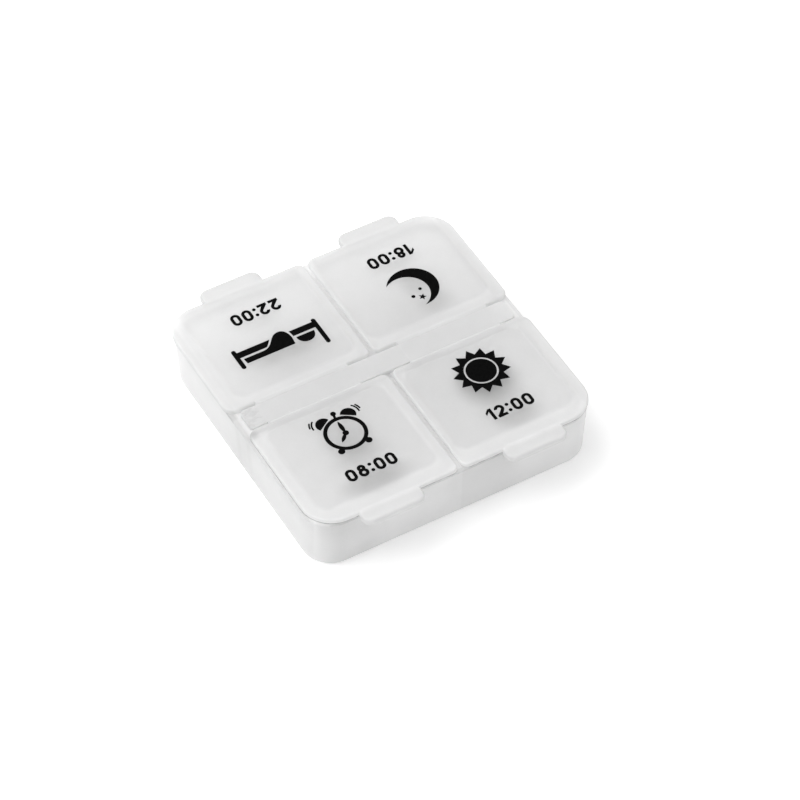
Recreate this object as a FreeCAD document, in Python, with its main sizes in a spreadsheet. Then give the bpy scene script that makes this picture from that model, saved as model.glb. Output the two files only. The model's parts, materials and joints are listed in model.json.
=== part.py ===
import FreeCAD, Part
import math
import os
import Sketcher
from FreeCAD import Placement, Rotation, Vector

# A square pill organizer with four compartments, one for each time of day.
# A tray holds the pills. A strip along the middle is pressed into a channel in the tray, and four lids hang on
# it by thin film hinges. Each lid is a plate with a plug skirt below and a thumb tab at its free edge.
# The origin is at the middle of the tray's underside. +X runs along the front edge and +Z up.
# The morning and noon lids are at the front, on the -Y side. The bedtime and evening lids are at the back.

SIZES = {
    # The tray
    "tray_width": 60.0,
    "tray_depth": 60.0,
    "rim_height": 11.8,
    "tray_corner": 6.4,
    "wall": 1.2,
    "floor": 1.2,
    "draft_inset": 0.58,
    "base_fillet": 0.86,
    "rim_fillet": 0.3,
    "mouth_fillet": 0.15,
    "scoop_fillet": 1.1,
    "inner_corner": 2.2,
    "divider": 1.3,
    "divider_shift": 0.37,
    # The channel in the middle of the tray, and its two cross walls
    "channel_width": 2.4,
    "channel_depth": 3.6,
    "cross_wall": 1.2,
    "end_land": 2.4,
    # The strip that holds the lids
    "spine_width": 4.9,
    "spine_end_gap": 1.7,
    "spine_corner": 1.0,
    "spine_drop": 0.25,
    "spine_fillet": 0.2,
    "keel_depth": 3.0,
    "keel_clearance": 0.05,
    # The film hinges
    "hinge_slit": 0.3,
    "film_length": 19.7,
    "film_thickness": 0.25,
    # The lids
    "lid_thickness": 0.92,
    "seat_gap": 0.12,
    "lid_gap": 0.8,
    "lid_corner": 6.4,
    "lid_hinge_corner": 2.0,
    "lid_middle_corner": 1.3,
    "lid_meeting_corner": 1.5,
    "lid_top_fillet": 0.45,
    "lid_under_fillet": 0.15,
    "morning_overhang": -0.5,
    "noon_overhang": 0.15,
    "evening_overhang": 0.0,
    "bedtime_overhang": 0.4,
    # The plug skirt under each lid
    "skirt_depth": 1.6,
    "skirt_wall": 1.0,
    "skirt_clearance": 0.2,
    "skirt_hinge_inset": 0.15,
    # The thumb tab of each lid
    "tab_width": 12.7,
    "tab_reach": 2.95,
    "tab_shift": 0.25,
    "tab_root": 1.6,
    "tab_thickness": 1.4,
    "tab_corner": 1.8,
    "tab_root_corner": 1.1,
    "tab_top_fillet": 0.6,
    "tab_under_fillet": 0.4,
    "tab_clearance": 0.2,
    # The print
    "ink_thickness": 0.03,
    "clock_shift": 1.2,
    "sun_shift": 0.1,
    "moon_shift": -0.28,
    "bed_shift": 1.13,
    "left_number_shift": 1.2,
    "right_number_shift": 0.1,
    "front_number_inset": 8.4,
    "back_number_inset": 7.2,
    "number_height": 2.9,
    "digit_width": 1.95,
    "digit_stroke": 0.62,
    "digit_gap": 0.42,
    "clock_from_hinge": 9.35,
    "clock_radius": 4.15,
    "clock_band": 0.77,
    "sun_from_hinge": 8.5,
    "sun_disc_radius": 2.92,
    "sun_gap": 0.36,
    "sun_valley_radius": 4.18,
    "sun_tip_radius": 5.62,
    "moon_from_hinge": 10.8,
    "moon_radius": 5.05,
    "moon_hollow_radius": 4.4,
    "star_radius": 0.8,
    "bed_from_hinge": 9.95,
    "bed_length": 17.76,
    "bed_rail": 1.46,
    "print_gap": 0.38,
}

document = FreeCAD.newDocument("daily_pill_organizer")
sheet = document.addObject("Spreadsheet::Sheet", "Sizes")
for row, (name, length) in enumerate(SIZES.items(), start=1):
    sheet.set(f"A{row}", name)
    sheet.set(f"B{row}", str(length))
    sheet.setAlias(f"B{row}", name)
document.recompute()


class Size:
    """A length, held both as a number and as the sheet formula that gives it."""

    def __init__(self, value, formula):
        self.value = value
        self.formula = formula

    def __add__(self, other):
        other = as_size(other)
        return Size(self.value + other.value, f"({self.formula} + {other.formula})")

    def __sub__(self, other):
        other = as_size(other)
        return Size(self.value - other.value, f"({self.formula} - {other.formula})")

    def __mul__(self, other):
        other = as_size(other)
        return Size(self.value * other.value, f"({self.formula} * {other.formula})")

    def __truediv__(self, other):
        other = as_size(other)
        return Size(self.value / other.value, f"({self.formula} / {other.formula})")

    def __neg__(self):
        return self * -1


def as_size(item):
    """A plain number as a Size, and a Size as it is."""
    if isinstance(item, Size):
        return item
    return Size(float(item), f"({float(item)})")


def size(alias):
    """The size that the sheet holds under that alias."""
    return Size(float(sheet.get(alias)), f"Sizes.{alias}")


def number(alias):
    """The plain number that the sheet holds under that alias."""
    return float(sheet.get(alias))


def bind(item, target, length):
    """Ties a property of an object to the sheet."""
    item.setExpression(target, as_size(length).formula)


# Places that several pieces share
half_width = size("tray_width") / 2
half_depth = size("tray_depth") / 2
rim = size("rim_height")
lid_under = rim + size("seat_gap")
lid_top = lid_under + size("lid_thickness")
spine_top = lid_top - size("spine_drop")
spine_side = size("spine_width") / 2
lid_hinge_edge = spine_side + size("hinge_slit")
cross_wall_face = size("channel_width") / 2 + size("cross_wall")
divider_side = size("divider") / 2
inner_far_corner = size("tray_corner") - size("wall")

# Each lid: its side of the tray in X and in Y
LIDS = {
    "morning": (-1, -1),
    "noon": (1, -1),
    "evening": (1, 1),
    "bedtime": (-1, 1),
}


def new_body(label):
    """An empty solid body with its own name."""
    body = document.addObject("PartDesign::Body", label)
    body.Label = label
    return body


def new_sketch(body, name, height):
    """A sketch in a level plane of the body, at a height above the tray's underside."""
    sketch = body.newObject("Sketcher::SketchObject", name)
    level = next(plane for plane in body.Origin.OriginFeatures if plane.Role == "XY_Plane")
    sketch.AttachmentSupport = [(level, "")]
    sketch.MapMode = "FlatFace"
    bind(sketch, "AttachmentOffset.Base.z", height)
    return sketch


def place_line(sketch, kind, line, coordinate):
    """Holds a line at a signed distance from the sketch's origin, along X or Y."""
    if coordinate.value >= 0:
        found = sketch.addConstraint(Sketcher.Constraint(kind, -1, 1, line, 1, coordinate.value))
        bind(sketch, f"Constraints[{found}]", coordinate)
    else:
        found = sketch.addConstraint(Sketcher.Constraint(kind, line, 1, -1, 1, -coordinate.value))
        bind(sketch, f"Constraints[{found}]", -coordinate)


def add_loop(sketch, low_x, high_x, low_y, high_y, corners):
    """A rectangle with its own rounding at each corner, from lower left and counter-clockwise."""
    x0, x1, y0, y1 = low_x.value, high_x.value, low_y.value, high_y.value
    lower_left, lower_right, upper_right, upper_left = [corner.value for corner in corners]
    first = sketch.GeometryCount
    lines = [
        (Vector(x0 + lower_left, y0), Vector(x1 - lower_right, y0)),
        (Vector(x1, y0 + lower_right), Vector(x1, y1 - upper_right)),
        (Vector(x1 - upper_right, y1), Vector(x0 + upper_left, y1)),
        (Vector(x0, y1 - upper_left), Vector(x0, y0 + lower_left)),
    ]
    rounds = [
        (Vector(x1 - lower_right, y0 + lower_right), lower_right, 270),
        (Vector(x1 - upper_right, y1 - upper_right), upper_right, 0),
        (Vector(x0 + upper_left, y1 - upper_left), upper_left, 90),
        (Vector(x0 + lower_left, y0 + lower_left), lower_left, 180),
    ]
    for (start, end), (centre, radius, angle) in zip(lines, rounds):
        sketch.addGeometry(Part.LineSegment(start, end), False)
        circle = Part.Circle(centre, Vector(0, 0, 1), radius)
        arc = Part.ArcOfCircle(circle, math.radians(angle), math.radians(angle + 90))
        sketch.addGeometry(arc, False)
    bottom, right, top, left = first, first + 2, first + 4, first + 6
    for line in (bottom, right, top, left):
        arc = line + 1
        after = first + (line - first + 2) % 8
        sketch.addConstraint(Sketcher.Constraint("Tangent", line, 2, arc, 1))
        sketch.addConstraint(Sketcher.Constraint("Tangent", arc, 2, after, 1))
    for line in (bottom, top):
        sketch.addConstraint(Sketcher.Constraint("Horizontal", line))
    for line in (left, right):
        sketch.addConstraint(Sketcher.Constraint("Vertical", line))
    for line, corner in zip((left, bottom, right, top), corners):
        radius = sketch.addConstraint(Sketcher.Constraint("Radius", line + 1, corner.value))
        bind(sketch, f"Constraints[{radius}]", corner)
    place_line(sketch, "DistanceX", left, low_x)
    place_line(sketch, "DistanceX", right, high_x)
    place_line(sketch, "DistanceY", bottom, low_y)
    place_line(sketch, "DistanceY", top, high_y)


def add_quarter_loop(sketch, side_x, side_y, near_x, far_x, near_y, far_y, corners):
    """A rounded rectangle in one quarter of the tray. near_x and far_x are where its sides are in X,
    near_y and far_y how far they are from the middle in Y. corners gives the rounding for each corner
    as (far in X, far in Y)."""
    low_x, high_x = (near_x, far_x) if side_x > 0 else (far_x, near_x)
    low_y, high_y = (near_y, far_y) if side_y > 0 else (-far_y, -near_y)
    left_is_far, right_is_far = side_x < 0, side_x > 0
    bottom_is_far, top_is_far = side_y < 0, side_y > 0
    order = [
        corners[(left_is_far, bottom_is_far)],
        corners[(right_is_far, bottom_is_far)],
        corners[(right_is_far, top_is_far)],
        corners[(left_is_far, top_is_far)],
    ]
    add_loop(sketch, low_x, high_x, low_y, high_y, order)


def add_centred_loop(sketch, half_x, half_y, corner):
    """A rounded rectangle about the tray's middle."""
    add_loop(sketch, -half_x, half_x, -half_y, half_y, [corner] * 4)


def pad(body, sketch, name, length, down=False):
    """Fills a sketch up, or down, by a length."""
    feature = body.newObject("PartDesign::Pad", name)
    feature.Profile = sketch
    feature.Reversed = down
    bind(feature, "Length", length)
    document.recompute()
    return feature


def pocket(body, sketch, name, depth, up=False):
    """Cuts a sketch down, or up, by a depth, and makes sure that it removed something."""
    before = body.Shape.Volume
    feature = body.newObject("PartDesign::Pocket", name)
    feature.Profile = sketch
    feature.Reversed = up
    bind(feature, "Length", depth)
    document.recompute()
    if body.Shape.Volume >= before:
        raise RuntimeError(f"{body.Label}: {name} cuts nothing")
    return feature


def level_edges(shape, height, wanted=lambda box: True):
    """The names of the edges that lie level at a height, and whose boxes are the wanted ones."""
    names = []
    for index, edge in enumerate(shape.Edges, start=1):
        box = edge.BoundBox
        level = abs(box.ZMin - height) < 1e-5 and abs(box.ZMax - height) < 1e-5
        if level and wanted(box):
            names.append(f"Edge{index}")
    return names


def within(box, half_x, half_y):
    """Whether a box stays inside a rectangle about the tray's middle."""
    reach_x = max(abs(box.XMin), abs(box.XMax))
    reach_y = max(abs(box.YMin), abs(box.YMax))
    return reach_x < half_x and reach_y < half_y


def fillet(body, name, edges, radius):
    """Rounds the named edges of the body's last feature."""
    last = body.Tip
    feature = body.newObject("PartDesign::Fillet", name)
    feature.Base = (last, edges)
    bind(feature, "Radius", radius)
    document.recompute()
    return feature


def compartment_sides(side_x, clearance):
    """Where the side walls of a quarter's compartment are in X, drawn in by a clearance."""
    near = size("divider_shift") + (divider_side + clearance) * side_x
    far = (half_width - size("wall") - clearance) * side_x
    return near, far


def make_tray():
    """The tray: tapered outside, with four tapered compartments and the channel for the strip's keel."""
    tray = new_body("base_tray")
    outline = new_sketch(tray, "tray_outline", 0)
    inset = size("draft_inset")
    foot_corner = size("tray_corner") - inset
    add_centred_loop(outline, half_width - inset, half_depth - inset, foot_corner)
    shell = pad(tray, outline, "tray_shell", rim)
    shell.setExpression("TaperAngle", f"atan({(inset / rim).formula})")
    document.recompute()

    depth = rim - size("floor")
    for name, (side_x, side_y) in LIDS.items():
        mouth = new_sketch(tray, f"{name}_mouth", rim)
        near_x, far_x = compartment_sides(side_x, as_size(0))
        corners = {
            (False, False): size("inner_corner"),
            (True, False): size("inner_corner"),
            (False, True): size("inner_corner"),
            (True, True): inner_far_corner,
        }
        far_y = half_depth - size("wall")
        add_quarter_loop(mouth, side_x, side_y, near_x, far_x, cross_wall_face, far_y, corners)
        cut = pocket(tray, mouth, f"{name}_compartment", depth)
        cut.setExpression("TaperAngle", f"-atan({(inset / rim).formula})")
        document.recompute()

    fillet(tray, "scoops", level_edges(tray.Shape, number("floor")), size("scoop_fillet"))

    channel = new_sketch(tray, "channel_mouth", rim)
    channel_half_width = size("channel_width") / 2
    channel_half_length = half_width - size("end_land")
    add_centred_loop(channel, channel_half_length, channel_half_width, size("channel_width") / 4)
    pocket(tray, channel, "channel", size("channel_depth"))

    fillet(tray, "base_round", level_edges(tray.Shape, 0.0), size("base_fillet"))

    margin = number("wall") / 2
    inner_x, inner_y = half_width.value - margin, half_depth.value - margin
    at_the_outside = level_edges(tray.Shape, rim.value, lambda box: not within(box, inner_x, inner_y))
    fillet(tray, "rim_round", at_the_outside, size("rim_fillet"))

    beside_y = cross_wall_face.value - number("cross_wall") / 2

    def round_a_compartment(box):
        return within(box, inner_x, inner_y) and not within(box, inner_x, beside_y)

    mouths = level_edges(tray.Shape, rim.value, round_a_compartment)
    fillet(tray, "mouth_rounds", mouths, size("mouth_fillet"))
    return tray


def make_spine():
    """The strip between the lids, which lies on the tray's cross walls, and its keel in the channel."""
    spine = new_body("hinge_spine")
    outline = new_sketch(spine, "spine_outline", rim)
    half_length = half_width - size("spine_end_gap")
    add_centred_loop(outline, half_length, spine_side, size("spine_corner"))
    pad(spine, outline, "spine_plate", spine_top - rim)
    fillet(spine, "spine_round", level_edges(spine.Shape, spine_top.value), size("spine_fillet"))
    keel = new_sketch(spine, "keel_outline", rim)
    keel_half_length = half_width - size("end_land") - size("keel_clearance")
    keel_half_width = size("channel_width") / 2 - size("keel_clearance")
    keel_corner = size("channel_width") / 4 - size("keel_clearance")
    add_centred_loop(keel, keel_half_length, keel_half_width, keel_corner)
    pad(spine, keel, "keel", size("keel_depth"), down=True)
    return spine


def make_film(name, side_x, side_y):
    """The film hinge between the strip and a lid: a thin web whose top is level with the strip's."""
    film = document.addObject("Part::Box", f"{name}_film_hinge")
    film.Label = f"{name}_film_hinge"
    bind(film, "Length", size("film_length"))
    bind(film, "Width", size("hinge_slit"))
    bind(film, "Height", size("film_thickness"))
    start_x = half_width / 2 * side_x - size("film_length") / 2
    start_y = spine_side if side_y > 0 else -lid_hinge_edge
    bind(film, "Placement.Base.x", start_x)
    bind(film, "Placement.Base.y", start_y)
    bind(film, "Placement.Base.z", spine_top - size("film_thickness"))
    document.recompute()
    return film


def make_lid_plate(name, side_x, side_y):
    """A lid's flat plate, rounded over at the top and a little below."""
    plate = new_body(f"{name}_lid_plate")
    outline = new_sketch(plate, f"{name}_plate_outline", lid_under)
    near_x = size("divider_shift") + size("lid_gap") / 2 * side_x
    far_x = (half_width + size(f"{name}_overhang")) * side_x
    corners = {
        (False, False): size("lid_middle_corner"),
        (True, False): size("lid_hinge_corner"),
        (False, True): size("lid_meeting_corner"),
        (True, True): size("lid_corner"),
    }
    add_quarter_loop(outline, side_x, side_y, near_x, far_x, lid_hinge_edge, half_depth, corners)
    pad(plate, outline, f"{name}_plate", size("lid_thickness"))
    fillet(plate, f"{name}_plate_round", level_edges(plate.Shape, lid_top.value), size("lid_top_fillet"))
    under = level_edges(plate.Shape, lid_under.value)
    fillet(plate, f"{name}_plate_under_round", under, size("lid_under_fillet"))
    return plate


def make_lid_skirt(name, side_x, side_y):
    """The skirt below a lid: a ring that plugs into the mouth of the compartment."""
    skirt = new_body(f"{name}_lid_skirt")
    outline = new_sketch(skirt, f"{name}_skirt_outline", lid_under)
    clearance = size("skirt_clearance")
    for inward in (as_size(0), size("skirt_wall")):
        near_x, far_x = compartment_sides(side_x, clearance + inward)
        near_y = lid_hinge_edge + size("skirt_hinge_inset") + inward
        far_y = half_depth - size("wall") - clearance - inward
        small = size("inner_corner") - clearance - inward
        corners = {
            (False, False): small,
            (True, False): small,
            (False, True): small,
            (True, True): inner_far_corner - clearance - inward,
        }
        add_quarter_loop(outline, side_x, side_y, near_x, far_x, near_y, far_y, corners)
    pad(skirt, outline, f"{name}_skirt", size("skirt_depth"), down=True)
    return skirt


def make_lid_tab(name, side_x, side_y):
    """The thumb tab at a lid's free edge, level with the lid's top and rounded over towards its lip."""
    tab = new_body(f"{name}_lid_tab")
    tab_under = lid_top - size("tab_thickness")
    outline = new_sketch(tab, f"{name}_tab_outline", tab_under)
    middle = half_width / 2 * side_x + size("tab_shift")
    half_tab = size("tab_width") / 2 * side_x
    root_y = half_depth - size("tab_root")
    corners = {
        (False, False): size("tab_root_corner"),
        (True, False): size("tab_root_corner"),
        (False, True): size("tab_corner"),
        (True, True): size("tab_corner"),
    }
    tip_y = half_depth + size("tab_reach")
    add_quarter_loop(outline, side_x, side_y, middle - half_tab, middle + half_tab, root_y, tip_y, corners)
    pad(tab, outline, f"{name}_tab", size("tab_thickness"))
    fillet(tab, f"{name}_tab_round", level_edges(tab.Shape, lid_top.value), size("tab_top_fillet"))
    under = level_edges(tab.Shape, tab_under.value)
    fillet(tab, f"{name}_tab_under_round", under, size("tab_under_fillet"))
    relief = new_sketch(tab, f"{name}_tab_relief_outline", tab_under)
    beside = half_tab + size("tab_corner") * side_x
    relief_end = half_depth + size("tab_clearance")
    relief_start = root_y - size("tab_root")
    around = {key: size("tab_under_fillet") for key in corners}
    add_quarter_loop(
        relief, side_x, side_y, middle - beside, middle + beside, relief_start, relief_end, around
    )
    relief_depth = size("tab_thickness") - size("lid_thickness")
    pocket(tab, relief, f"{name}_tab_relief", relief_depth, up=True)
    return tab


def make_lid(name, side_x, side_y):
    """A lid: its plate, skirt and tab as one moulding."""
    lid = document.addObject("Part::MultiFuse", f"{name}_lid")
    lid.Label = f"{name}_lid"
    lid.Shapes = [
        make_lid_plate(name, side_x, side_y),
        make_lid_skirt(name, side_x, side_y),
        make_lid_tab(name, side_x, side_y),
    ]
    lid.Refine = True
    document.recompute()
    return lid


# Flat printed figures. Each is drawn about its own middle, upright for someone who faces that side.


def disc(x, y, radius):
    """A round patch."""
    return Part.Face(Part.Wire(Part.makeCircle(radius, Vector(x, y, 0))))


def patch(points):
    """A patch with straight sides."""
    corners = [Vector(x, y, 0) for x, y in points]
    return Part.Face(Part.makePolygon(corners + corners[:1]))


def block(x0, y0, x1, y1):
    """An upright rectangle."""
    return patch([(x0, y0), (x1, y0), (x1, y1), (x0, y1)])


def polar(x, y, radius, degrees):
    """A point at an angle and a distance from another."""
    angle = math.radians(degrees)
    return Vector(x + radius * math.cos(angle), y + radius * math.sin(angle), 0)


def arc_band(x, y, outer, inner, start, end):
    """A stretch of a ring between two angles."""
    middle = (start + end) / 2
    edges = [
        Part.Arc(polar(x, y, outer, start), polar(x, y, outer, middle), polar(x, y, outer, end)),
        Part.LineSegment(polar(x, y, outer, end), polar(x, y, inner, end)),
        Part.Arc(polar(x, y, inner, end), polar(x, y, inner, middle), polar(x, y, inner, start)),
        Part.LineSegment(polar(x, y, inner, start), polar(x, y, outer, start)),
    ]
    return Part.Face(Part.Wire([edge.toShape() for edge in edges]))


def leaf(start, end, half_width_of_leaf):
    """A pointed leaf between two points, as for a clock's hand."""
    along = end - start
    side = Vector(-along.y, along.x, 0).normalize() * half_width_of_leaf
    middle = (start + end) / 2
    edges = [Part.Arc(start, middle + side, end), Part.Arc(end, middle - side, start)]
    return Part.Face(Part.Wire([edge.toShape() for edge in edges]))


def star(x, y, radius, points, valley):
    """A pointed star, with a point straight up."""
    corners = []
    for index in range(2 * points):
        reach = radius if index % 2 == 0 else valley
        corner = polar(x, y, reach, 90 + index * 180 / points)
        corners.append((corner.x, corner.y))
    return patch(corners)


def long_round(x0, y0, x1, y1):
    """An upright patch with round ends."""
    radius = (x1 - x0) / 2
    middle = (x0 + x1) / 2
    top, bottom = disc(middle, y1 - radius, radius), disc(middle, y0 + radius, radius)
    return joined([block(x0, y0 + radius, x1, y1 - radius), top, bottom])


def joined(faces):
    """Overlapping patches as one."""
    if len(faces) == 1:
        return faces[0]
    return faces[0].multiFuse(faces[1:]).removeSplitter()


def draw_zero(tall, wide, stroke):
    outer = long_round(0, 0, wide, tall)
    return outer.cut(long_round(stroke, stroke, wide - stroke, tall - stroke)), wide


def draw_one(tall, wide, stroke):
    left = wide - 1.9 * stroke
    arm_end = 0.73 * tall
    upright = block(left, 0, left + stroke, tall)
    arm = patch([(left, tall), (0, arm_end), (0, arm_end - stroke), (left, tall - stroke)])
    return joined([upright, arm]), left + stroke


def draw_two(tall, wide, stroke):
    radius = wide / 2
    centre_y = tall - radius
    bowl_start, bowl_end = -38, 172
    bowl = arc_band(radius, centre_y, radius, radius - stroke, bowl_start, bowl_end)
    outside = polar(radius, centre_y, radius, bowl_start)
    inside = polar(radius, centre_y, radius - stroke, bowl_start)
    heel = 0.8 * stroke
    slope = patch([(outside.x, outside.y), (inside.x, inside.y), (0, heel), (0, 0), (stroke, 0)])
    foot = block(0, 0, wide, stroke)
    return joined([bowl, slope, foot]), wide


def draw_eight(tall, wide, stroke):
    lower = wide / 2
    upper = (tall + stroke) / 2 - lower
    rounds = ((lower, lower), (upper, tall - upper))
    figure = joined([disc(lower, centre_y, radius) for radius, centre_y in rounds])
    for radius, centre_y in rounds:
        figure = figure.cut(disc(lower, centre_y, radius - stroke))
    return figure, wide


def draw_colon(tall, wide, stroke):
    radius = 0.58 * stroke
    low, high = 0.24 * tall, 0.76 * tall
    return Part.makeCompound([disc(radius, low, radius), disc(radius, high, radius)]), 2 * radius


GLYPHS = {"0": draw_zero, "1": draw_one, "2": draw_two, "8": draw_eight, ":": draw_colon}


def number_faces(text):
    """A line of plain digits about its own middle."""
    tall, stroke = number("number_height"), number("digit_stroke")
    faces = []
    x = 0
    for character in text:
        glyph, advance = GLYPHS[character](tall, number("digit_width"), stroke)
        glyph.translate(Vector(x, -tall / 2, 0))
        faces.extend(glyph.Faces)
        x += advance + number("digit_gap")
    for face in faces:
        face.translate(Vector((number("digit_gap") - x) / 2, 0, 0))
    return faces


def clock_faces():
    """An alarm clock with two bells, a knob and feet, at eight o'clock. The middle is the dial's."""
    radius = number("clock_radius")
    foot_out, foot_down, foot_radius = 0.685 * radius, 0.865 * radius, 0.16 * radius
    knob_x, knob_y, knob_radius = 0.05 * radius, 1.25 * radius, 0.13 * radius
    stem_low, stem_half_width = 0.97 * radius, 0.06 * radius
    minute_hand, minute_half_width = 0.755 * radius, 0.1 * radius
    hour_x, hour_y, hour_half_width = -0.405 * radius, -0.415 * radius, 0.09 * radius
    pin_radius = 0.145 * radius
    bell_x, bell_y, bell_radius = 0.625 * radius, 0.907 * radius, 0.366 * radius
    bell_lean, ring_lean = 33, 70
    rings = [(1.45 * bell_radius, 29), (1.75 * bell_radius, 15)]
    ring_half_width = 0.105 * bell_radius

    case = [disc(0, 0, radius), disc(knob_x, knob_y, knob_radius)]
    for side in (-1, 1):
        case.append(disc(side * foot_out, -foot_down, foot_radius))
    case.append(patch([
        (-stem_half_width, stem_low),
        (stem_half_width, stem_low),
        (knob_x + stem_half_width, knob_y),
        (knob_x - stem_half_width, knob_y),
    ]))
    faces = [joined(case).cut(disc(0, 0, radius - number("clock_band")))]

    centre = Vector(0, 0, 0)
    faces.append(joined([
        disc(0, 0, pin_radius),
        leaf(centre, Vector(0, minute_hand, 0), minute_half_width),
        leaf(centre, Vector(hour_x, hour_y, 0), hour_half_width),
    ]))

    below = block(-2 * bell_radius, -2 * bell_radius, 2 * bell_radius, -0.15 * bell_radius)
    for side in (-1, 1):
        x = side * bell_x
        flat = below.copy()
        flat.Placement = Placement(Vector(x, bell_y, 0), Rotation(Vector(0, 0, 1), -side * bell_lean))
        faces.append(disc(x, bell_y, bell_radius).cut(flat))
        facing = 90 - side * ring_lean
        for ring_radius, spread in rings:
            outer, inner = ring_radius + ring_half_width, ring_radius - ring_half_width
            faces.append(arc_band(x, bell_y, outer, inner, facing - spread, facing + spread))
    return faces


def sun_faces():
    """A disc inside a toothed ring. The middle is the disc's."""
    disc_radius = number("sun_disc_radius")
    teeth = 13
    rays = star(0, 0, number("sun_tip_radius"), teeth, number("sun_valley_radius"))
    return [rays.cut(disc(0, 0, disc_radius + number("sun_gap"))), disc(0, 0, disc_radius)]


def moon_faces():
    """A crescent with a star and two dots in its hollow. The middle is the outer round's."""
    radius = number("moon_radius")
    hollow_x, hollow_y = 0.333 * radius, 0.188 * radius
    star_x, star_y, star_radius = -0.08 * radius, 0.594 * radius, number("star_radius")
    star_points, star_valley = 5, 0.45 * star_radius
    dots = [
        (-0.2 * radius, 0.188 * radius, 0.069 * radius),
        (0.218 * radius, 0.416 * radius, 0.076 * radius),
    ]
    crescent = disc(0, 0, radius).cut(disc(hollow_x, hollow_y, number("moon_hollow_radius")))
    little_star = star(star_x, star_y, star_radius, star_points, star_valley)
    return [crescent, little_star, *[disc(*dot) for dot in dots]]


def curve(*points):
    """A Bezier curve with those control points."""
    bezier = Part.BezierCurve()
    bezier.setPoles([Vector(x, y, 0) for x, y in points])
    return bezier.toShape()


def bed_faces():
    """A bed with its headboard, footboard, rail, a blanket that hangs over the side, and a pillow."""
    half = number("bed_length") / 2
    gap = number("print_gap")
    board = 0.1 * half
    rail_low = -0.296 * half
    rail_high = rail_low + number("bed_rail")
    head_low, head_high = -0.372 * half, 0.402 * half
    foot_low, foot_high = -0.394 * half, 0.184 * half

    bed_top = rail_high + 1.4 * gap
    blanket_top = bed_top + 0.146 * half
    blanket_foot = half - board - 1.3 * gap
    blanket_head = -0.33 * half
    hang_x = 0.383 * half
    hang_pull = hang_x - 0.27 * half
    hem, hem_right, hem_left = -0.402 * half, 0.101 * half, -0.135 * half
    hem_pull = hem_left - 0.135 * half
    corner_pull, corner_top = hem + 0.146 * half, hem + 0.293 * half
    lean = 0.018 * half

    def hanging_side(grow):
        """The curves of the side that hangs down, moved outwards."""
        right, low, left = hang_x + grow, hem - grow, blanket_head - grow
        pull = hang_pull + grow
        return [
            curve((right, bed_top), (pull, bed_top), (hem_right + grow, low), (hem_left, low)),
            curve((hem_left, low), (hem_pull - grow, low), (left, corner_pull - grow), (left, corner_top)),
        ]

    blanket = Part.Face(Part.Wire([
        curve((blanket_foot, bed_top), (hang_x, bed_top)),
        *hanging_side(0),
        curve((blanket_head, corner_top), (blanket_head + lean, blanket_top)),
        curve((blanket_head + lean, blanket_top), (blanket_foot - lean, blanket_top)),
        curve((blanket_foot - lean, blanket_top), (blanket_foot, bed_top)),
    ]))
    room = Part.Face(Part.Wire([
        *hanging_side(gap),
        curve((blanket_head - gap, corner_top), (blanket_head - gap, bed_top)),
        curve((blanket_head - gap, bed_top), (hang_x + gap, bed_top)),
    ]))

    headboard = long_round(-half, head_low, -half + board, head_high)
    footboard = long_round(half - board, foot_low, half, foot_high)
    rail = block(-half + board / 2, rail_low, half - board / 2, rail_high)
    frame = joined([headboard, footboard, rail]).cut(room)

    pillow_left = -half + board + 1.6 * gap
    pillow_right = blanket_head - 1.8 * gap
    puff = 0.69 * (pillow_right - pillow_left)
    pillow = Part.Face(Part.Wire([
        curve((pillow_left, bed_top), (pillow_right, bed_top)),
        curve((pillow_right, bed_top), (pillow_right, bed_top + puff), (pillow_left, bed_top + puff),
              (pillow_left, bed_top)),
    ]))
    return [*frame.Faces, blanket, pillow]


def lid_middle_x(name, side_x):
    """The middle of a lid's plate in X."""
    near = number("divider_shift") + side_x * number("lid_gap") / 2
    return (near + side_x * half_width.value) / 2


def make_print(label, faces, lid_name, shift, from_middle):
    """A layer of ink on a lid's top, at a shift from the middle of its plate in X and a distance from the
    middle of the tray in Y. Prints on the back lids are turned half round, to be read from the back."""
    side_x, side_y = LIDS[lid_name]
    layer = Vector(0, 0, number("ink_thickness"))
    feature = document.addObject("Part::Feature", label)
    feature.Label = label
    solids = [face.extrude(layer) for face in faces]
    feature.Shape = solids[0].multiFuse(solids[1:]).removeSplitter()
    place = Vector(lid_middle_x(lid_name, side_x) + shift, side_y * from_middle, lid_top.value)
    turn = 180 if side_y > 0 else 0
    feature.Placement = Placement(place, Rotation(Vector(0, 0, 1), turn))
    return feature


def make_prints():
    """The picture and the hour on each lid."""
    pictures = {
        "morning": ("clock", clock_faces),
        "noon": ("sun", sun_faces),
        "evening": ("moon", moon_faces),
        "bedtime": ("bed", bed_faces),
    }
    hours = {"morning": "08:00", "noon": "12:00", "evening": "18:00", "bedtime": "22:00"}
    prints = []
    for name, (picture, draw) in pictures.items():
        shift = number(f"{picture}_shift")
        from_middle = lid_hinge_edge.value + number(f"{picture}_from_hinge")
        prints.append(make_print(f"{name}_{picture}_print", draw(), name, shift, from_middle))
    for name, text in hours.items():
        side_x, side_y = LIDS[name]
        shift = number("left_number_shift" if side_x < 0 else "right_number_shift")
        inset = number("front_number_inset" if side_y < 0 else "back_number_inset")
        from_middle = half_depth.value - inset
        prints.append(make_print(f"{name}_number_print", number_faces(text), name, shift, from_middle))
    return prints


pieces = [make_tray(), make_spine()]
for name, (side_x, side_y) in LIDS.items():
    pieces.append(make_film(name, side_x, side_y))
    pieces.append(make_lid(name, side_x, side_y))
pieces.extend(make_prints())
document.recompute()

for item in document.Objects:
    if "Invalid" in item.State or "Error" in item.State:
        raise RuntimeError(f"{item.Label} did not build: {item.State}")
for piece in pieces:
    if piece.Shape.isNull() or not piece.Shape.isValid():
        raise RuntimeError(f"{piece.Label} has no sound solid")

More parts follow.
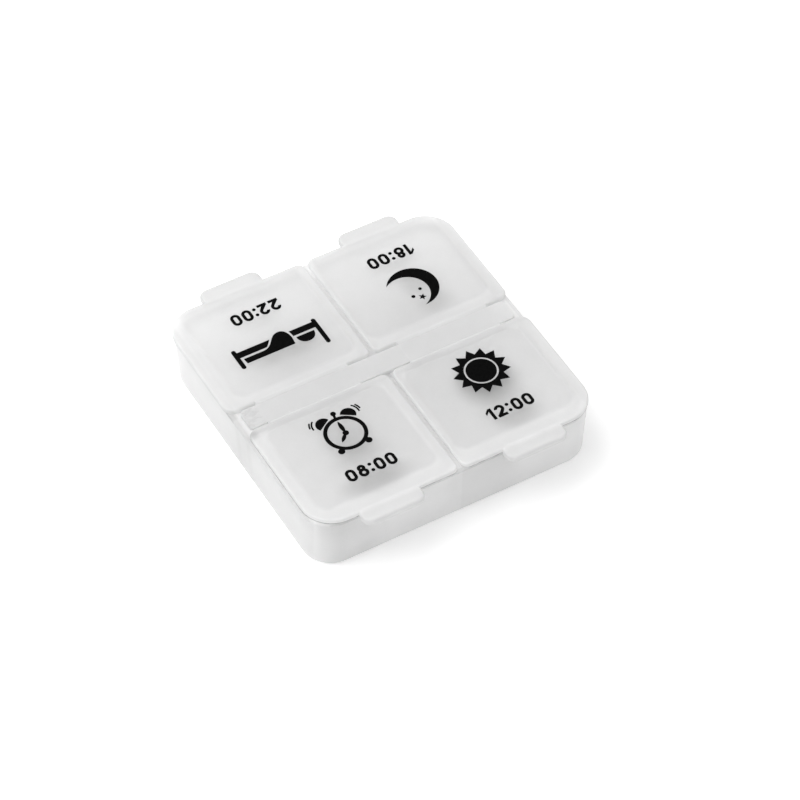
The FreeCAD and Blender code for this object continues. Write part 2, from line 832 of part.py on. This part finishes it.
os.makedirs("parts", exist_ok=True)
for piece in pieces:
    piece.Shape.exportStep(f"parts/{piece.Label}.step")
    box = piece.Shape.optimalBoundingBox(False)
    print(f"{piece.Label}: {len(piece.Shape.Solids)} solids, {piece.Shape.Volume:.3f} mm3")
    print(f"  x {box.XMin:.2f} to {box.XMax:.2f}, y {box.YMin:.2f} to {box.YMax:.2f}, z {box.ZMin:.2f} to {box.ZMax:.2f}")
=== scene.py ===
import json
import math

import bpy
from mathutils import Matrix, Vector

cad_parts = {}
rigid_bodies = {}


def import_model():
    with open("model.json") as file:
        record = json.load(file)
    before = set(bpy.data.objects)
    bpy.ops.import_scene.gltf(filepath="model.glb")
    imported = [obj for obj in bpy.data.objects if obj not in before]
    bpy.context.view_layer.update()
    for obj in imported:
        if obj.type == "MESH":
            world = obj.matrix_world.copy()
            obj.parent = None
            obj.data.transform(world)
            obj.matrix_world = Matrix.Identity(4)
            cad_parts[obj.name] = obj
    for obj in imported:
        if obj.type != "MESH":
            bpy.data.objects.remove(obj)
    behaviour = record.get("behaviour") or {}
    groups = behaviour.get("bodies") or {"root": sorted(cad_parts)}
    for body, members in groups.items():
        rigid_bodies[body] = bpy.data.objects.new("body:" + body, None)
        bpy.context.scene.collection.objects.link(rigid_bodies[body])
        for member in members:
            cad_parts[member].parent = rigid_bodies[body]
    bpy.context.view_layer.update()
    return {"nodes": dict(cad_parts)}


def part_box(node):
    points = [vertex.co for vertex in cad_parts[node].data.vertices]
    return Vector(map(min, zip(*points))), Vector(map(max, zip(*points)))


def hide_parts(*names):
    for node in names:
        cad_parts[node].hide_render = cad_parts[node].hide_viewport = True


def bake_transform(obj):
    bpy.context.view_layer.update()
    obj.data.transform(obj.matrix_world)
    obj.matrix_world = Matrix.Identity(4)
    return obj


# A square pill organizer of frosted plastic on a white studio floor, seen from its front left corner.
# Blender works in metres, and the sizes named here are in mm. The front edge runs along +X, the lids face +Z.

for item in list(bpy.data.objects):
    bpy.data.objects.remove(item, do_unlink=True)

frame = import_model()

MM = 0.001

# The side of the middle that each lid is on, in X and in Y.
LIDS = {"morning": (-1, -1), "noon": (1, -1), "evening": (1, 1), "bedtime": (-1, 1)}


class Graph:
    """The node tree of a material or a world, with short ways to add and join nodes."""

    def __init__(self, owner):
        owner.use_nodes = True
        self.tree = owner.node_tree
        self.tree.nodes.clear()

    def add(self, kind, inputs=None, **settings):
        node = self.tree.nodes.new(kind)
        for name, value in settings.items():
            setattr(node, name, value)
        for name, value in (inputs or {}).items():
            self.put(node.inputs[name], value)
        return node

    def put(self, socket, value):
        """Joins a socket to another, or sets its plain value."""
        if isinstance(value, bpy.types.NodeSocket):
            self.tree.links.new(value, socket)
        else:
            socket.default_value = value

    def finish(self, surface):
        """Joins a shader to the output."""
        self.put(self.add("ShaderNodeOutputMaterial").inputs["Surface"], surface)

    def place(self):
        """The point on the object at rest, as a whole and as X, Y and Z."""
        point = self.add("ShaderNodeTexCoord").outputs["Object"]
        split = self.add("ShaderNodeSeparateXYZ", {0: point})
        return point, split.outputs

    def noise(self, point, scale, detail=2.0, roughness=0.5):
        inputs = {"Vector": point, "Scale": scale, "Detail": detail, "Roughness": roughness}
        return self.add("ShaderNodeTexNoise", inputs).outputs["Fac"]

    def tint(self, level):
        """A grey of that level."""
        return self.add("ShaderNodeCombineColor", {"Red": level, "Green": level, "Blue": level}).outputs[0]

    def math(self, operation, first, second=0.0):
        return self.add("ShaderNodeMath", {0: first, 1: second}, operation=operation).outputs[0]

    def times(self, *values):
        """The product of several values."""
        product = values[0]
        for value in values[1:]:
            product = self.math("MULTIPLY", product, value)
        return product

    def total(self, *values):
        """The sum of several values."""
        together = values[0]
        for value in values[1:]:
            together = self.math("ADD", together, value)
        return together

    def ramp(self, value, low, high, out_low=0.0, out_high=1.0, smooth=True):
        """A value carried from one range to another, and held at its ends."""
        kind = "SMOOTHSTEP" if smooth else "LINEAR"
        limits = {"Value": value, "From Min": low, "From Max": high, "To Min": out_low, "To Max": out_high}
        return self.add("ShaderNodeMapRange", limits, interpolation_type=kind).outputs["Result"]

    def across(self, value, start, end, at_start=0.0, at_end=1.0, smooth=True):
        """A level that changes between two places along an axis. The places are in mm."""
        return self.ramp(value, start * MM, end * MM, at_start, at_end, smooth)

    def band(self, value, middle, half, blur):
        """1 where a value is within a distance of another, and 0 elsewhere. Sizes are in mm."""
        off = self.math("ABSOLUTE", self.math("SUBTRACT", value, middle * MM))
        return self.across(off, half - blur, half + blur, 1.0, 0.0)

    def patch(self, axes, centre, half, corner, blur):
        """1 inside a level rounded rectangle, and 0 outside it, with a soft border. Sizes are in mm."""
        squares = []
        for axis, middle, reach in zip(axes, centre, half):
            off = self.math("ABSOLUTE", self.math("SUBTRACT", axis, middle * MM))
            past = self.math("MAXIMUM", self.math("SUBTRACT", off, (reach - corner) * MM), 0.0)
            squares.append(self.math("MULTIPLY", past, past))
        distance = self.math("SQRT", self.math("ADD", *squares))
        return self.across(distance, corner - blur, corner + blur, 1.0, 0.0)

    def blotch(self, axes, centre, half):
        """1 in the middle of a level ellipse, and softly down to 0 at its border. Sizes are in mm."""
        even_share = 0.15
        squares = []
        for axis, middle, reach in zip(axes, centre, half):
            off = self.math("DIVIDE", self.math("SUBTRACT", axis, middle * MM), reach * MM)
            squares.append(self.math("MULTIPLY", off, off))
        distance = self.math("SQRT", self.math("ADD", *squares))
        return self.ramp(distance, even_share, 1.0, 1.0, 0.0)

    def upright(self, level=0.85):
        """1 on surfaces that stand upright, and 0 on those that face up or down by more than a level."""
        still_upright = 0.5
        normal = self.add("ShaderNodeTexCoord").outputs["Normal"]
        up = self.math("ABSOLUTE", self.add("ShaderNodeSeparateXYZ", {0: normal}).outputs[2])
        return self.ramp(up, still_upright, level, 1.0, 0.0)

    def seen(self):
        """1 for what the camera sees straight on, in a reflection or through the plastic, and 0 for what only
        sheds light on other things."""
        rays = self.add("ShaderNodeLightPath").outputs
        either = self.math("MAXIMUM", rays["Is Camera Ray"], rays["Is Glossy Ray"])
        return self.math("MAXIMUM", either, rays["Is Transmission Ray"])


# The stretch of a noise's values that is used, which leaves out its rare ends.
NOISE_LOW, NOISE_HIGH = 0.3, 0.7


def frosted(name, tone, clear, marks_and_shades=None, veiled=None):
    """Pale, frosted, semi-clear plastic. tone is how pale it is, and clear the share of light that passes
    straight through a surface. marks_and_shades adds what is particular to a piece to the tone, its own marks
    and its painted shade, and veiled takes from that share where the plastic is thick."""
    cloud_scale, speck_scale, grain_scale, wave_scale = 260.0, 2600.0, 4200.0, 320.0
    cloud_dark, cloud_pale = -0.014, 0.006
    speck_tone = 0.008
    grain_share = 0.25
    bump_strength, bump_depth = 0.25, 0.06 * MM
    glow_share = 0.45

    material = bpy.data.materials.new(name)
    graph = Graph(material)
    point, axes = graph.place()

    cloud = graph.noise(point, cloud_scale, 3.0, 0.6)
    speck = graph.noise(point, speck_scale, 2.0, 0.6)
    level = graph.ramp(cloud, NOISE_LOW, NOISE_HIGH, tone + cloud_dark, tone + cloud_pale, smooth=False)
    specks = graph.ramp(speck, NOISE_LOW, NOISE_HIGH, -speck_tone, speck_tone, smooth=False)
    level = graph.math("ADD", level, specks)
    if marks_and_shades:
        level = graph.math("ADD", level, marks_and_shades(graph, point, axes))
    colour = graph.tint(level)

    grain = graph.noise(point, grain_scale, 3.0, 0.65)
    wave = graph.noise(point, wave_scale, 2.0, 0.5)
    height = graph.math("ADD", graph.math("MULTIPLY", grain, grain_share), wave)
    bumps = {"Height": height, "Strength": bump_strength, "Distance": bump_depth}
    normal = graph.add("ShaderNodeBump", bumps).outputs[0]

    skin = graph.add("ShaderNodeBsdfPrincipled", {
        "Base Color": colour,
        "Roughness": 0.42,
        "IOR": 1.49,
        "Specular IOR Level": 0.4,
        "Normal": normal,
    }).outputs[0]
    glow = graph.add("ShaderNodeBsdfTranslucent", {"Color": colour, "Normal": normal}).outputs[0]
    veil = graph.add("ShaderNodeMixShader", {0: glow_share, 1: skin, 2: glow}).outputs[0]
    gap = graph.add("ShaderNodeBsdfTransparent").outputs[0]
    share = graph.math("SUBTRACT", clear, veiled(graph, axes)) if veiled else clear
    surface = graph.add("ShaderNodeMixShader", {0: share, 1: veil, 2: gap}).outputs[0]
    graph.finish(surface)
    return material


# The flat panel of each lid, inside the paler border over its skirt: from and to in X, from and to in Y, and
# how much painted shade darkens it, for the empty compartment under it. At the back the panels run on into
# the tabs.
PANELS = {
    "morning": (-27.0, -2.2, -26.6, -4.4, 0.062),
    "noon": (2.0, 27.2, -26.6, -4.4, 0.057),
    "evening": (1.6, 27.5, 5.3, 36.0, 0.03),
    "bedtime": (-27.1, -1.8, 4.9, 36.0, 0.032),
}
PANEL_CORNER = 2.4
PANEL_BLUR = 0.8

# How much less light passes through the border than through the panel.
BORDER_VEIL = 0.15

# The painted shadows that a lid's prints throw below them, and a painted shade in the morning lid's corner by
# its hinge: the middle, the half size and the depth of each.
SHADES = {
    "morning": [
        ((-14.0, -13.6), (6.6, 6.6), 0.15),
        ((-14.2, -18.2), (8.0, 4.0), 0.12),
        ((-14.3, -24.5), (9.6, 3.9), 0.23),
        # painted shade in the morning lid's corner by its hinge, not a print's shadow
        ((-28.8, -4.0), (1.6, 1.8), 0.20),
    ],
    "noon": [
        ((15.1, -14.2), (7.9, 7.6), 0.40),
        ((15.4, -21.5), (8.5, 5.0), 0.06),
        ((15.7, -24.4), (6.8, 3.4), 0.16),
    ],
    "evening": [
        ((15.6, 14.4), (4.0, 4.4), 0.14),
        ((17.0, 8.2), (5.6, 3.6), 0.10),
        ((13.0, 8.5), (11.0, 7.0), 0.05),
        ((15.4, 20.4), (7.0, 2.4), 0.08),
    ],
    "bedtime": [
        ((-17.8, 11.3), (5.2, 3.2), 0.09),
        ((-13.6, 11.2), (5.4, 3.2), 0.07),
        ((-9.8, 11.0), (5.2, 3.2), 0.10),
        ((-13.6, 9.0), (12.4, 6.0), 0.07),
        ((-14.0, 20.2), (6.0, 2.4), 0.06),
    ],
}

# The bare ring in the sun's print, which stays pale: its middle and its outer radius.
SUN_RING = ((15.49, -11.25), 3.5)
SUN_RING_BLUR = 0.2

# The painted shade in the seam under a lid's edge: from and to in X, and how dark it is at each.
SEAMS = {
    "morning": (-29.3, -29.0, 0.85, 0.6),
    "noon": (1.5, 2.5, 0.2, 0.6),
    "evening": (1.5, 2.5, 0.0, 0.0),
    "bedtime": (-29.3, -29.0, 0.1, 0.0),
}


def panel(graph, axes, name):
    """1 on the flat panel of a lid, and 0 on its border."""
    from_x, to_x, from_y, to_y = PANELS[name][:4]
    centre = ((from_x + to_x) / 2, (from_y + to_y) / 2)
    half = ((to_x - from_x) / 2, (to_y - from_y) / 2)
    return graph.patch(axes, centre, half, PANEL_CORNER, PANEL_BLUR)


def lid_veil(name):
    """The border of a lid is thick, with the skirt under it, and lets less through."""
    return lambda graph, axes: graph.ramp(panel(graph, axes, name), 0.0, 1.0, BORDER_VEIL, 0.0)


def painted_print_shadows(graph, axes, name):
    """The painted shadows that a lid's prints throw, and none on the sun's bare ring."""
    parts = []
    for middle, half, depth in SHADES[name]:
        shade = graph.times(graph.blotch(axes, middle, half), -depth)
        if name == "noon":
            ring, radius = SUN_RING
            on_ring = graph.patch(axes, ring, (radius, radius), radius, SUN_RING_BLUR)
            shade = graph.times(shade, graph.math("SUBTRACT", 1.0, on_ring))
        parts.append(shade)
    return parts


def lid_edge_shades(graph, axes, name):
    """Painted shade on the tab of a lid and on its edges, which are less lit than its top."""
    side_x, side_y = LIDS[name]
    is_front = side_y < 0
    from_middle = graph.math("ABSOLUTE", axes[1])
    tab_start, tab_end = 29.2 if is_front else 28.0, 30.8
    tab_tone = -0.12 if is_front else -0.17
    edge_level, edge_tone = 0.97, -0.09
    parts = [graph.across(from_middle, tab_start, tab_end, 0.0, tab_tone)]
    parts.append(graph.times(graph.upright(edge_level), edge_tone))
    # painted shade: the right lids darker towards their outer side, the left lids on their outer border
    if side_x > 0:
        parts.append(graph.across(axes[0], start=22.0, end=27.0, at_start=0.0, at_end=-0.015))
        parts.append(graph.across(axes[0], start=27.7, end=28.3, at_start=0.0, at_end=-0.04))
    else:
        side_tone = -0.03 if is_front else -0.07
        parts.append(graph.across(axes[0], start=-29.3, end=-28.6, at_start=side_tone, at_end=0.0))
    return parts


def hinge_painted_shade(graph, point, axes, name):
    """Painted shade on a lid towards its hinge: in the fold and crease at the front, and evenly at the back.
    """
    from_middle = graph.math("ABSOLUTE", axes[1])
    if LIDS[name][1] > 0:
        return graph.across(from_middle, start=5.0, end=24.0, at_start=-0.022, at_end=0.0, smooth=False)
    fold = graph.times(graph.band(from_middle, middle=3.85, half=0.45, blur=0.3), -0.10)
    crease = graph.times(graph.band(from_middle, middle=3.0, half=0.3, blur=0.2), -0.06)
    fade_scale = 90.0
    faded = graph.ramp(graph.noise(point, fade_scale), 0.35, 0.65, 0.35, 1.0)
    return graph.times(graph.total(fold, crease), faded)


def painted_seam_shade(graph, point, axes, name):
    """Painted shade in the seam low on a lid's edge, which isn't on its tab or at its hinge."""
    from_middle = graph.math("ABSOLUTE", axes[1])
    under_top = graph.across(axes[2], start=12.12, end=12.3, at_start=1.0, at_end=0.0)
    over_rim = graph.across(axes[2], start=11.86, end=11.9)
    past_hinge = graph.across(from_middle, start=3.2, end=3.8)
    before_tab = graph.across(from_middle, start=30.06, end=30.16, at_start=1.0, at_end=0.0)
    # noise makes the painted seam shade uneven
    patchiness_scale = 400.0
    patchy_shade = graph.ramp(graph.noise(point, patchiness_scale), 0.35, 0.65, 0.6, 1.0)
    from_x, to_x, at_start, at_end = SEAMS[name]
    strength = graph.across(axes[0], from_x, to_x, -at_start, -at_end)
    return graph.times(under_top, over_rim, past_hinge, before_tab, patchy_shade, graph.upright(), strength)


def lid_painted_shades(name):
    """The painted shades in a lid, as tones to add."""

    def marks_and_shades(graph, point, axes):
        # painted shade: the panel darker than the border, for the empty compartment under it
        panel_shade_depth = PANELS[name][4]
        return graph.total(
            graph.times(panel(graph, axes, name), -panel_shade_depth),
            *painted_print_shadows(graph, axes, name),
            *lid_edge_shades(graph, axes, name),
            hinge_painted_shade(graph, point, axes, name),
            painted_seam_shade(graph, point, axes, name),
        )

    return marks_and_shades


def front_wall_painted_shade(graph, axes):
    """Painted shade on the front wall: in its right part, at its darker left end, and towards the rim."""
    x, y, z = axes[0], axes[1], axes[2]
    on_wall = graph.across(y, start=-29.7, end=-27.0, at_start=1.0, at_end=0.0)

    past_divider = graph.across(x, start=0.35, end=0.65)
    before_tab = graph.across(x, start=10.5, end=14.0, at_start=1.0, at_end=0.0)
    shade_tone = graph.across(x, start=1.5, end=7.0, at_start=-0.055, at_end=-0.075)
    shade_height = graph.across(z, start=2.0, end=9.0, at_start=0.6, at_end=1.0)
    shade = graph.times(past_divider, before_tab, shade_tone, shade_height)

    left_part = graph.across(x, start=-20.0, end=-13.0, at_start=1.0, at_end=0.0)
    left_end = graph.across(x, start=-25.0, end=-21.0, at_start=0.6, at_end=0.0)
    left_tone = -0.08
    left_shade = graph.times(graph.total(left_part, left_end), left_tone)

    upper = graph.across(z, start=2.0, end=10.5, at_start=0.0, at_end=-0.045, smooth=False)
    return graph.times(on_wall, graph.total(shade, left_shade, upper))


def left_wall_painted_shade(graph, axes):
    """Painted shade on the left wall, where the cross walls stand behind it, at its front end and near its
    rim;
    and a darker line and a darker spot at its rim.
    """
    x, y, z = axes[0], axes[1], axes[2]
    on_wall = graph.across(x, start=-29.0, end=-28.6, at_start=1.0, at_end=0.0)

    cross_tone = -0.03
    back_wall = graph.band(y, middle=0.2, half=0.8, blur=0.5)
    front_wall = graph.band(y, middle=-4.2, half=0.8, blur=0.5)
    cross_walls = graph.times(graph.total(back_wall, front_wall), cross_tone)
    near_rim = graph.across(z, start=8.0, end=10.8, at_start=0.0, at_end=-0.035)
    nearer = graph.across(y, start=-26.0, end=-12.0, at_start=-0.045, at_end=-0.025)

    # a darker line and a darker spot along the rim
    line_tone, spot_tone = -0.12, -0.2
    line_height = graph.band(z, middle=11.45, half=0.14, blur=0.08)
    line_stretch = graph.band(y, middle=3.0, half=6.5, blur=2.0)
    spot_height = graph.band(z, middle=11.5, half=0.3, blur=0.2)
    spot_stretch = graph.band(y, middle=3.2, half=1.7, blur=0.5)
    rim_line = graph.times(line_height, line_stretch, line_tone)
    rim_spot = graph.times(spot_height, spot_stretch, spot_tone)
    return graph.times(on_wall, graph.total(cross_walls, near_rim, nearer, rim_line, rim_spot))


def corner_painted_shade(graph, axes):
    """Painted shade on the round corner between the left wall and the front wall."""
    tone = -0.05
    from_left = graph.across(axes[0], start=-28.8, end=-26.5, at_start=1.0, at_end=0.0)
    from_front = graph.across(axes[1], start=-28.8, end=-26.0, at_start=1.0, at_end=0.0)
    return graph.times(from_left, from_front, tone)


def rim_painted_shade(graph, axes):
    """Painted shade on the top of the rim, where it shows past the lids, and in the gap between the front
    lids.
    """
    x, y, z = axes[0], axes[1], axes[2]
    from_centre = graph.math("MAXIMUM", graph.math("ABSOLUTE", x), graph.math("ABSOLUTE", y))
    past_lids = graph.across(from_centre, start=29.0, end=29.3)
    at_top = graph.across(z, start=11.5, end=11.65)
    rim_tone = graph.across(y, start=3.0, end=6.0, at_start=-0.10, at_end=-0.02)
    rim_top = graph.times(past_lids, at_top, rim_tone)

    on_divider = graph.band(x, middle=0.37, half=0.55, blur=0.15)
    past_strip = graph.across(y, start=-3.8, end=-3.2)
    divider_top = graph.across(z, start=11.0, end=11.6)
    gap_tone = graph.across(y, start=0.0, end=1.0, at_start=-0.2, at_end=0.0)
    return graph.total(rim_top, graph.times(on_divider, past_strip, divider_top, gap_tone))


def tray_painted_shades(graph, point, axes):
    """The painted shades in the tray, as tones to add."""
    return graph.total(
        front_wall_painted_shade(graph, axes),
        left_wall_painted_shade(graph, axes),
        corner_painted_shade(graph, axes),
        rim_painted_shade(graph, axes),
    )


def strip_marks(graph, point, axes):
    """A fine line across the strip, and its scuffed left end."""
    x = axes[0]
    line_x, line_tone = 5.45, 0.03
    line = graph.times(graph.patch(axes, (line_x, 0.0), (0.12, 4.0), corner=0.1, blur=0.1), line_tone)
    beyond = graph.across(x, start=5.3, end=5.5, at_start=0.0, at_end=0.008)

    scuff_scale, scuff_tone, end_tone = 900.0, -0.10, -0.01
    on_end = graph.across(x, start=-25.6, end=-24.6, at_start=1.0, at_end=0.0)
    stretched = graph.add("ShaderNodeMapping", {"Vector": point, "Scale": (0.7, 1.2, 1.0)}).outputs[0]
    scuff = graph.ramp(graph.noise(stretched, scuff_scale, 4.0, 0.7), 0.42, 0.62, 0.0, scuff_tone)
    end = graph.times(on_end, graph.total(scuff, end_tone))
    tip = graph.across(x, start=-28.2, end=-27.0, at_start=-0.08, at_end=0.0)
    return graph.total(line, beyond, end, tip)


def ink():
    """Black print, a little uneven."""
    patch_scale = 1800.0
    darkest, palest = 0.001, 0.004
    material = bpy.data.materials.new("print_ink")
    graph = Graph(material)
    point, axes = graph.place()
    patchy = graph.noise(point, patch_scale, 3.0, 0.6)
    level = graph.ramp(patchy, NOISE_LOW, NOISE_HIGH, darkest, palest, smooth=False)
    graph.finish(graph.add("ShaderNodeBsdfPrincipled", {
        "Base Color": graph.tint(level),
        "Roughness": 0.6,
        "Specular IOR Level": 0.02,
    }).outputs[0])
    return material


def floor_paper():
    """White studio paper. It looks a little paler to the camera than it is to the light, so that it stays
    white all round and keeps the object's soft shadow."""
    lit_level, seen_level = 0.95, 1.30
    material = bpy.data.materials.new("floor_paper")
    graph = Graph(material)
    level = graph.ramp(graph.seen(), 0.0, 1.0, lit_level, seen_level, smooth=False)
    graph.finish(graph.add("ShaderNodeBsdfDiffuse", {"Color": graph.tint(level)}).outputs[0])
    return material


def paint(material, *names):
    """Gives CAD nodes that material in place of their own."""
    for name in names:
        mesh = frame["nodes"][name].data
        mesh.materials.clear()
        mesh.materials.append(material)


paint(frosted("frosted_tray", 0.992, 0.20, tray_painted_shades), "base_tray")
paint(frosted("frosted_strip", 0.996, 0.14, strip_marks), "hinge_spine")
film_plastic = frosted("frosted_film", 0.96, 0.2)
for name in LIDS:
    paint(frosted(f"frosted_{name}_lid", 0.993, 0.35, lid_painted_shades(name), lid_veil(name)), f"{name}_lid")
paint(ink(), *[node for node in frame["nodes"] if node.endswith("_print")])


def film_section(side_y):
    """The outline of a film hinge across its length, as (y, z): level with the strip, and up onto the lid's
    edge. At the back it runs further up than at the front."""
    strip_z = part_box("hinge_spine")[1].z
    start, end, rise = (2.38, 3.22, 0.246) if side_y > 0 else (2.33, 2.93, 0.15)
    above_strip = 0.004
    edge_thickness, extra_thickness = 0.03, 0.2
    steps = 12
    top = []
    for step in range(steps + 1):
        share = step / steps
        climb = share * share * (3 - 2 * share) if side_y > 0 else share ** 3
        top.append(((start + (end - start) * share) * MM, strip_z + (rise * climb + above_strip) * MM))
    under = []
    for step, (y, z) in enumerate(top):
        thickness = edge_thickness + extra_thickness * math.sin(math.pi * step / steps)
        under.append((y, z - thickness * MM))
    return [(side_y * y, z) for y, z in top + under[::-1]]


def film_ribbon(name, side_y):
    """The film hinge of a lid, as one soft ribbon from the strip to the lid."""
    low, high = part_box(f"{name}_film_hinge")
    section = film_section(side_y)
    slices = 40
    points, faces = [], []
    for index in range(slices + 1):
        x = low.x + (high.x - low.x) * index / slices
        for y, z in section:
            points.append((x, y, z))
    count = len(section)
    for index in range(slices):
        this_slice, next_slice = index * count, (index + 1) * count
        for corner in range(count):
            after = (corner + 1) % count
            faces.append((this_slice + corner, this_slice + after, next_slice + after, next_slice + corner))
    faces.append(tuple(range(count)))
    faces.append(tuple(reversed(range(slices * count, (slices + 1) * count))))
    mesh = bpy.data.meshes.new(f"{name}_film_ribbon")
    mesh.from_pydata(points, [], faces)
    mesh.validate()
    mesh.update()
    ribbon = bpy.data.objects.new(f"{name}_film_ribbon", mesh)
    bpy.context.scene.collection.objects.link(ribbon)
    mesh.shade_smooth()
    mesh.materials.append(film_plastic)
    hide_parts(f"{name}_film_hinge")
    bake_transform(ribbon)


for name, (side_x, side_y) in LIDS.items():
    film_ribbon(name, side_y)


def floor():
    """The floor, wide enough to reach past the picture's edges, and just under the object."""
    half = 6.0
    level = -0.05 * MM
    mesh = bpy.data.meshes.new("floor")
    corners = [(-half, -half, level), (half, -half, level), (half, half, level), (-half, half, level)]
    mesh.from_pydata(corners, [], [(0, 1, 2, 3)])
    plane = bpy.data.objects.new("floor", mesh)
    bpy.context.scene.collection.objects.link(plane)
    mesh.materials.append(floor_paper())


def softbox(name, place, target, width, height, power):
    """A rectangular lamp that faces a point. Places and sizes are in metres, and the power is in watts."""
    light = bpy.data.lights.new(name, "AREA")
    light.shape = "RECTANGLE"
    light.size = width
    light.size_y = height
    light.energy = power
    lamp = bpy.data.objects.new(name, light)
    bpy.context.scene.collection.objects.link(lamp)
    lamp.location = place
    lamp.rotation_euler = (Vector(target) - Vector(place)).to_track_quat("-Z", "Y").to_euler()


def studio():
    """A soft key lamp behind and to the left, a weak one low at the front left, and even light all round."""
    lit_level, seen_level = 0.625, 1.0
    world = bpy.data.worlds.new("studio")
    bpy.context.scene.world = world
    graph = Graph(world)
    level = graph.ramp(graph.seen(), 0.0, 1.0, lit_level, seen_level, smooth=False)
    white = (1.0, 1.0, 1.0, 1.0)
    background = graph.add("ShaderNodeBackground", {"Color": white, "Strength": level}).outputs[0]
    graph.add("ShaderNodeOutputWorld", {"Surface": background})
    softbox("key", (-0.24, 0.18, 0.50), target=(0, 0, 0.01), width=0.55, height=0.55, power=1.9)
    softbox("fill", (-0.38, -0.44, 0.16), target=(0, 0, 0.006), width=0.4, height=0.25, power=0.22)


def camera():
    """The photograph's camera: turned about the object, looking down, and leaning a little."""
    turn, down, lean = math.radians(29.382), math.radians(48.272), math.radians(-0.494)
    target, distance = Vector((4.387 * MM, -0.103 * MM, 0.0)), 660.27 * MM
    forward = Vector((math.sin(turn) * math.cos(down), math.cos(turn) * math.cos(down), -math.sin(down)))
    right = Vector((math.cos(turn), -math.sin(turn), 0.0))
    up = right.cross(forward)
    leaning_right = right * math.cos(lean) + up * math.sin(lean)
    leaning_up = up * math.cos(lean) - right * math.sin(lean)
    data = bpy.data.cameras.new("camera")
    data.sensor_width = 36.0
    data.lens = 156.85
    data.clip_start = 0.01
    data.clip_end = 100.0
    data.dof.use_dof = False
    view = bpy.data.objects.new("camera", data)
    bpy.context.scene.collection.objects.link(view)
    turned = Matrix((leaning_right, leaning_up, -forward)).transposed()
    view.matrix_world = Matrix.Translation(target - forward * distance) @ turned.to_4x4()
    bpy.context.scene.camera = view


floor()
studio()
camera()
bpy.context.scene.view_settings.view_transform = "Standard"
